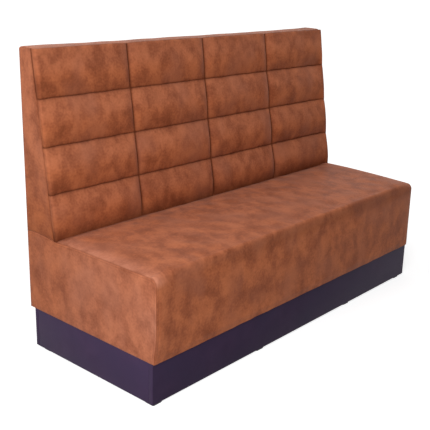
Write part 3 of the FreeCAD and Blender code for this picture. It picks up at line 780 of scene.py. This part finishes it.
def pad_columns(outer_left, outer_right):
    """Across one pad: place, fixed height, share of the crown and of the end's turn."""
    inner = [(place, 0.0, rise, 0.0) for place, rise in zip(column_places, column_rises)]
    wall = [(0, PAD_BACK, 0.0, 0.0)]
    turn = [(0, -FLANGE, 0.0, 0.0), (0, -0.0085, 0.0, 0.12), (0, -0.0065, 0.0, 0.5),
            (0, -0.0035, 0.0, 0.85), (0, 0.0, 0.0, 1.0), (0, 0.0, 0.16, 1.0)]
    for angle in (8, 20, 33, 46, 59, 72, 84):
        t = math.radians(angle)
        turn.append((TURN * (1 - math.cos(t)), 0.0, 0.26 + 0.68 * math.sin(t), math.cos(t)))
    turn += [(0.0115, 0.0, 0.955, 0.0), (0.016, 0.0, 0.965, 0.0), (0.022, 0.0, 0.975, 0.0),
             (0.030, 0.0, 0.985, 0.0), (0.040, 0.0, 0.993, 0.0), (0.054, 0.0, 1.0, 0.0)]
    left_end = turn if outer_left else wall + inner
    right_end = turn if outer_right else wall + inner
    gap_left = SLIP + PAD_GAP * (not outer_left)
    gap_right = SLIP + PAD_GAP * (not outer_right)
    level_from = column_places[-1]
    count = round((column_width - 2 * level_from) / PAD_STEP)
    middle = np.linspace(level_from, column_width - level_from, count + 1)[1:-1]
    rows = [(gap_left + place, *rest) for place, *rest in left_end]
    rows += [(place, 0.0, 1.0, 0.0) for place in middle]
    rows += [(column_width - gap_right - place, *rest) for place, *rest in reversed(right_end)]
    return np.array(rows).T


def seam_drift(x, up):
    """The small way that hand sewing has moved the upright seams sideways."""
    last = np.exp(-(((x - LEFT - 3 * column_width) / 0.12) ** 2))
    middle = np.exp(-(((x - LEFT - 2 * column_width) / 0.12) ** 2))
    return last * (0.003 - 0.011 * up / pad_height) - 0.0020 * middle


def from_seam(up):
    """The way from the nearest level seam."""
    return np.abs((up + channel_height / 2) % channel_height - channel_height / 2)


pad_seam_lines = []
for number in range(COLUMNS):
    outer_left, outer_right = number == 0, number == COLUMNS - 1
    place, base, share, turned = pad_columns(outer_left, outer_right)
    x = LEFT + number * column_width + place
    up = pad_up[:, None]
    rise = pad_rise[:, None]
    from_outer = np.minimum(place if outer_left else 1, column_width - place if outer_right else 1)
    at_end = (0.4 if outer_left else 0.84) * np.exp(-((from_outer / 0.022) ** 2))
    at_end = at_end * (np.arange(len(up)) < len(up) - 1)[:, None]
    on_seat = 0.28 * np.exp(-up / 0.012)
    end_rise = rise + (1 - rise) * np.maximum(on_seat, at_end)
    to_right = (x - LEFT) / (RIGHT - LEFT)
    crown = LOW_CROWN + (TOP_CROWN - LOW_CROWN) * up / pad_height
    crown = crown + RIGHT_CROWN * to_right**2 * (1 - 0.5 * up / pad_height)
    slim = 0.4 * outer_left * np.exp(-((from_outer / 0.03) ** 2)) * ease((0.50 - up) / 0.05)
    height = base + share * end_rise * crown * (1 - slim)
    bulge = RIGHT_BULGE if outer_right else LEFT_BULGE
    pulled = turned * (0.0022 * (1 - end_rise) - bulge * end_rise)
    sense = np.where(place < column_width / 2, 1, -1)
    lift = (seat_top(x, SEAT_REAR - 0.012) - SEAT_LEVEL + SLIP) * np.clip(1 - up / channel_height, 0, 1)
    notch = NOTCH * (1 - share) * (1 - turned) * (base > -0.001)
    lift = lift - notch * np.exp(-(pad_height - up) / 0.02)
    lift = lift + TOP_LIFT * (0.3 + 0.7 * share) * ease(1 - (pad_height - up) / 0.03)
    sway = SWAY * waves(x[None, :], up * 0, 0.05, 0.16, 40 + number)
    near_seam = np.exp(-from_seam(up) / 0.02) * (up > 0.08) * (up < pad_height - 0.08)
    z = SEAT_LEVEL + up + lift + sway * near_seam
    outer = points_at(x + seam_drift(x, up) + sense * pulled, face_y(z, height), z)
    inner_x = np.clip(x, LEFT + COVER + SLIP, RIGHT - COVER - SLIP) if outer_left or outer_right else x
    inner = points_at(inner_x + seam_drift(x, up), face_y(z, np.minimum(base, PAD_BACK)), z)
    ends = np.minimum(place, column_width - place)
    held = (ends < 0.0006) & (share < 0.05) | (rise == 0) | (up > pad_height - 0.0005)
    outer = fill_out(outer, inner, held, most=0.005, excess=0.03)
    inner = finer(inner)
    up = finer(np.broadcast_to(up, held.shape)[..., None])[..., 0]
    middle_row = len(outer) // 2 + 14
    way = np.linalg.norm(np.diff(outer[middle_row], axis=0), axis=1)
    across = np.broadcast_to(np.append(0, np.cumsum(way)), up.shape)
    to_seam = from_seam(up)
    to_side = np.minimum(across, across[0, -1] - across)
    first_half = across < across[0, -1] / 2
    hidden = 0.0025 * np.where(first_half, not outer_left, not outer_right)
    strength = (to_seam / 0.004) * np.exp(1 - to_seam / 0.004) * 0.5 + np.exp(-to_seam / 0.012) * 0.5
    strength = strength * (1 - np.exp(-to_seam / 0.002)) * np.clip(to_side / 0.02, 0, 1)
    level = np.round(up / channel_height) + 0.5 * (up % channel_height > channel_height / 2)
    pucker = waves(across, 3.1 * level, 0.011, 0.034, 60 + number)
    slack = waves(across, up, 0.06, 0.2, 80 + number) * np.clip(to_seam / 0.03, 0, 1)
    outer[..., 1] -= PUCKER * (strength * pucker + slack * np.clip(to_side / 0.03, 0, 1))
    pad = closed_form("back_pad_%d" % (number + 1), outer, inner)
    in_channel = (up % channel_height) / channel_height
    # Painted shade: dark along the level seams and the upright seams, over the lower half of each
    # channel, just above the seat, over the lower rows (more in the columns to the right) and at the
    # top of the face.
    shade = 0.9 * np.exp(-to_seam / 0.0032) * (up > 0.02) * (up < pad_height - 0.02)
    outer_seam = 1.3 - 0.8 * outer_left * (up < 0.50)
    shade = shade + outer_seam * np.exp(-np.maximum(to_side - hidden, 0) / 0.0035)
    shade = shade + 0.22 * ease((0.5 - in_channel) / 0.5) + 0.55 * np.exp(-up / 0.03)
    shade = shade + (0.12 + 0.05 * number) * np.clip(1 - up / 0.4, 0, 1)
    shade = shade + 0.10 * np.exp(-(pad_height - up) / 0.02)
    # Painted highlight: the upper part of each channel is paler.
    pale = 0.10 * ease((in_channel - 0.35) / 0.4) * np.clip(to_side / 0.01, 0, 1)
    lay_hide(pad, outer, (1.3 * number + 0.4, 5.3 + 0.77 * number), shade, pale)
    clad(pad, leather, fleece)
    stand_in(pad, "leather", "back_channel_panel_%d" % (number + 1))
    in_groove = (across[0] > 0.005 + 0.045 * outer_left) & (
        across[0, -1] - across[0] > 0.005 + 0.045 * outer_right)
    for seam_number in range(1, CHANNELS):
        row = np.argmin(np.abs(up[:, 0] - seam_number * channel_height))
        pad_seam_lines.append(outer[row, in_groove] + np.array([0, -0.0002, 0]))

# Backrest covers. Leather over the end frames, the top rail and the rear
# board; the top one rolls over the rear edge and is sewn to the rear one.
REAR_ROLL = 0.008
TOP_FULL = 0.0012
SIDE_WIDTH = 0.12


def ear(x):
    """How far the top edge stands up near its two ends, where the corners are stuffed."""
    left = 0.0018 * np.exp(-(x - LEFT) / 0.08) + 0.0024 * np.exp(-(((x - LEFT - 0.13) / 0.09) ** 2))
    return left + 0.0060 * np.exp(-(RIGHT - x) / 0.10)


for side, outside, sense, shift in (("left", LEFT, -1, (6.1, 2.2)), ("right", RIGHT, 1, (7.3, 3.6))):
    reach = spread(1.0, PANEL_EDGES / SIDE_WIDTH, 0.04)
    rows = spread(1.0, PANEL_EDGES / pad_height, 0.016)[:, None]
    front_y = face_y(SEAT_LEVEL + rows * pad_height, -FLANGE - SLIP)
    y = front_y + reach * (REAR - SLIP - front_y)
    low = side_level(np.maximum(y, SEAT_REAR + 0.0001), sense) + SLIP
    into_round = np.clip(y - (REAR - REAR_ROLL), 0, REAR_ROLL - SLIP)
    high = BACK_TOP + ear(outside) - REAR_ROLL + np.sqrt(REAR_ROLL**2 - into_round**2)
    z = low + rows * (high - low)
    front_y = face_y(z, -FLANGE - SLIP)
    y = front_y + reach * (REAR - SLIP - front_y)
    distance = np.minimum(np.minimum(y - front_y, REAR - SLIP - y), np.minimum(high - z, z - low))
    places = points_at(outside, y, z)
    # Painted shade: a dark band along the front edge where the pad meets the cover, strongest at the
    # top, and darker low down by the seat; the cover is paler higher up, a painted sheen.
    painted_edge_and_low_shade = np.exp(-np.maximum(y - front_y, 0) / 0.004) * (0.3 + 0.65 * ease((z - 0.93) / 0.04))
    painted_edge_and_low_shade = painted_edge_and_low_shade + 0.35 * np.exp(-(z - SEAT_LEVEL) / 0.08)
    side_sheen = 0.14 * ease((z - 0.50) / 0.30)
    cover = leather_panel("back_side_" + side, places, (sense, 0, 0), distance, shift, 31, dark=painted_edge_and_low_shade,
                          wear_and_painted_sheen=side_sheen)
    stand_in(cover, "leather", "back_side_cover_" + side)

x = LEFT + COVER + spread(RIGHT - LEFT - 2 * COVER, PANEL_EDGES, 0.012)[None, :]
top_start = face_y(BACK_TOP, -0.0003)
flat_y = np.concatenate([top_start + np.array([0, 0.0004, 0.0011, 0.0022, 0.004, 0.007]),
                         np.linspace(top_start + 0.012, REAR - REAR_ROLL, 8)])
bent = np.linspace(0, 1, 7)[1:]
tilt = np.concatenate([np.zeros(len(flat_y)), bent * math.pi / 2])[:, None]
tilt_y, tilt_z = np.sin(tilt), np.cos(tilt)
line_y = np.append(flat_y, np.full(len(bent), REAR - REAR_ROLL))[:, None] + REAR_ROLL * tilt_y
line_z = BACK_TOP - REAR_ROLL + REAR_ROLL * tilt_z
from_end = np.minimum(x - LEFT, RIGHT - x) - COVER
to_front = line_y - top_start
to_rear = np.append(np.full(len(flat_y), 0.02), 0.0094 * (1 - bent))[:, None]
distance = np.minimum(np.minimum(from_end, to_front + 0.0018), to_rear)
height = puffed(distance) + TOP_FULL * ease(to_front / 0.03)
height = height + 0.0006 * waves(x, line_y, 0.08, 0.4, 32)
outer = points_at(x, line_y + tilt_y * height, line_z + tilt_z * (height + ear(x)))
inner = points_at(x, line_y - tilt_y * COVER, line_z - tilt_z * COVER)
top_cover = closed_form("back_top", outer, inner)
# The top cover's ends are darker, painted shade at their seams, and the whole cover is paler, a painted
# highlight on its upward face.
lay_hide(top_cover, outer, (0.3, 8.8), 0.5 * np.exp(-np.maximum(from_end, 0) / 0.0013), 0.2)
clad(top_cover, leather, fleece)
stand_in(top_cover, "leather", "back_top_cover")

rear_top = BACK_TOP - REAR_ROLL
cover = rear_cover("back", SEAT_LEVEL + SLIP, rear_top, (0.012, 0.014), (5.2, 9.3), 33)

# Stitches. Bonded thread a little lighter than the leather: a row beside the
# welt of the seat and in every channel seam of the backrest.
STITCH_PITCH = 0.0045
STITCH_LENGTH = 0.0034
THREAD = 0.0008
thread = two_tone("bonded_thread", cloudy, {"Patch Size": 0.0012, "Twist": 0.4},
                  (0.15, 0.048, 0.026, 1), (0.24, 0.085, 0.048, 1), (0.6, 0.6),
                  **{"Specular IOR Level": 0.1})

stitch_tree = bpy.data.node_groups.new("stitch_row", "GeometryNodeTree")
interface = stitch_tree.interface
interface.new_socket("Geometry", in_out="INPUT", socket_type="NodeSocketGeometry")
for label, value in (("Pitch", STITCH_PITCH), ("Stitch Length", STITCH_LENGTH), ("Thread", THREAD)):
    interface.new_socket(label, in_out="INPUT", socket_type="NodeSocketFloat").default_value = value
interface.new_socket("Material", in_out="INPUT", socket_type="NodeSocketMaterial")
interface.new_socket("Geometry", in_out="OUTPUT", socket_type="NodeSocketGeometry")
given = stitch_tree.nodes.new("NodeGroupInput").outputs
group_end = stitch_tree.nodes.new("NodeGroupOutput")
line = add_node(stitch_tree, "GeometryNodeMeshToCurve", {"Mesh": given["Geometry"]})
holes = add_node(stitch_tree, "GeometryNodeResampleCurve", {
    "Curve": line.outputs["Curve"], "Length": given["Pitch"]}, mode="LENGTH")
turn_to = add_node(stitch_tree, "FunctionNodeAlignRotationToVector", {
    "Vector": add_node(stitch_tree, "GeometryNodeInputTangent").outputs["Tangent"]}, axis="X")
bead = add_node(stitch_tree, "GeometryNodeMeshUVSphere", {"Segments": 6, "Rings": 4, "Radius": 0.5})
size = add_node(stitch_tree, "ShaderNodeCombineXYZ", {
    "X": given["Stitch Length"], "Y": given["Thread"], "Z": given["Thread"]})
stitch = add_node(stitch_tree, "GeometryNodeTransform", {
    "Geometry": bead.outputs["Mesh"], "Scale": size.outputs["Vector"]})
rows = add_node(stitch_tree, "GeometryNodeInstanceOnPoints", {
    "Points": holes.outputs["Curve"], "Instance": stitch.outputs["Geometry"],
    "Rotation": turn_to.outputs["Rotation"]})
real = add_node(stitch_tree, "GeometryNodeRealizeInstances", {"Geometry": rows.outputs["Instances"]})
smooth = add_node(stitch_tree, "GeometryNodeSetShadeSmooth", {"Geometry": real.outputs["Geometry"]})
coloured = add_node(stitch_tree, "GeometryNodeSetMaterial", {
    "Geometry": smooth.outputs["Geometry"], "Material": given["Material"]})
feed(stitch_tree, group_end, {"Geometry": coloured.outputs["Geometry"]})


def sew(name, lines):
    """Rows of stitches along lines of points, as one plain mesh."""
    points, edges = [], []
    for points_of_line in lines:
        start = len(points)
        points += [tuple(point) for point in points_of_line]
        edges += [(start + k, start + k + 1) for k in range(len(points_of_line) - 1)]
    path = bpy.data.meshes.new(name + "_path")
    path.from_pydata(points, edges, [])
    guide = bpy.data.objects.new(name + "_path", path)
    scene.collection.objects.link(guide)
    modifier = guide.modifiers.new("stitches", "NODES")
    modifier.node_group = stitch_tree
    values = {"Pitch": STITCH_PITCH, "Stitch Length": STITCH_LENGTH, "Thread": THREAD,
              "Material": thread}
    for item in stitch_tree.interface.items_tree:
        if item.in_out == "INPUT" and item.name in values:
            modifier[item.identifier] = values[item.name]
    graph = bpy.context.evaluated_depsgraph_get()
    mesh = bpy.data.meshes.new_from_object(guide.evaluated_get(graph))
    mesh.name = name
    bpy.data.objects.remove(guide)
    piece = bpy.data.objects.new(name, mesh)
    scene.collection.objects.link(piece)
    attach(piece, "root")


sew("seat_welt_stitches", welt_lines)
sew("back_channel_stitches", pad_seam_lines)

# Floor, light and camera. A white floor that keeps the bench's soft shadow, a
# soft key lamp low on the left, weaker lamps behind and above it, and the
# camera at the photographed angle.
LAMP_SIZE = 1.2
floor_mesh = bpy.data.meshes.new("floor")
floor_mesh.from_pydata([(-40, -40, 0), (40, -40, 0), (40, 40, 0), (-40, 40, 0)], [], [(0, 1, 2, 3)])
floor = bpy.data.objects.new("floor", floor_mesh)
scene.collection.objects.link(floor)
floor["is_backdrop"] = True
white_floor, tree, shader, place = start_material("white_floor")


def seen_rays(tree):
    """1 for what the camera sees, straight, in a gloss or through glass; 0 for other light."""
    path = add_node(tree, "ShaderNodeLightPath").outputs
    gloss = combine(tree, "MAXIMUM", path["Is Glossy Ray"], path["Is Transmission Ray"])
    return combine(tree, "MAXIMUM", path["Is Camera Ray"], gloss)


paper = add_node(tree, "ShaderNodeTexNoise", {"Vector": place, "Scale": 3.0})
seen = seen_rays(tree)
away = add_node(tree, "ShaderNodeVectorMath", {0: place}, operation="LENGTH").outputs["Value"]
glow = spread_range(tree, away, 1.0, 2.2, 0.60, 0.85)
shown = mix_colours(tree, paper.outputs[0], (0.80, 0.80, 0.80, 1), (0.82, 0.82, 0.82, 1))
feed(tree, shader, {
    "Base Color": mix_colours(tree, seen, (0.30, 0.30, 0.30, 1), shown),
    "Roughness": 0.9,
    "Specular IOR Level": 0.0,
    "Emission Color": (1, 1, 1, 1),
    "Emission Strength": combine(tree, "MULTIPLY", seen, glow)})
floor_mesh.materials.append(white_floor)

world = bpy.data.worlds.new("studio")
scene.world = world
world.use_nodes = True
tree = world.node_tree
feed(tree, tree.nodes["Background"], {
    "Color": (1, 1, 1, 1), "Strength": spread_range(tree, seen_rays(tree), 0, 1, 0.33, 1.0)})


def soft_lamp(name, spot, aim, power):
    """A square soft box at spot, turned to aim."""
    data = bpy.data.lights.new(name, "AREA")
    data.size = LAMP_SIZE
    data.energy = power
    lamp = bpy.data.objects.new(name, data)
    scene.collection.objects.link(lamp)
    lamp.location = spot
    lamp.rotation_euler = (Vector(aim) - Vector(spot)).to_track_quat("-Z", "Y").to_euler()


soft_lamp("key_lamp", (-2.7, -1.6, 1.35), (-0.2, 0, 0.6), 56)
soft_lamp("rear_lamp", (-2.0, 0.6, 2.8), (-0.2, 0, 0.5), 23)
soft_lamp("top_lamp", (0.5, -1.3, 3.2), (0.2, 0, 0.6), 13)

camera_data = bpy.data.cameras.new("camera")
camera_data.lens = 66.2797
camera_data.sensor_width = 36
camera_data.shift_x = -0.0683
camera_data.shift_y = -0.0292
camera = bpy.data.objects.new("camera", camera_data)
scene.collection.objects.link(camera)
camera.location = (-2.4161, -2.0066, 1.4116)
camera.rotation_euler = [math.radians(turn) for turn in (73.14298, -1.97309, -49.73855)]
scene.camera = camera
scene.view_settings.view_transform = "Standard"

# Sizes. The finished bench's box; the frame's box was taken at the start.
low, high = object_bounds()
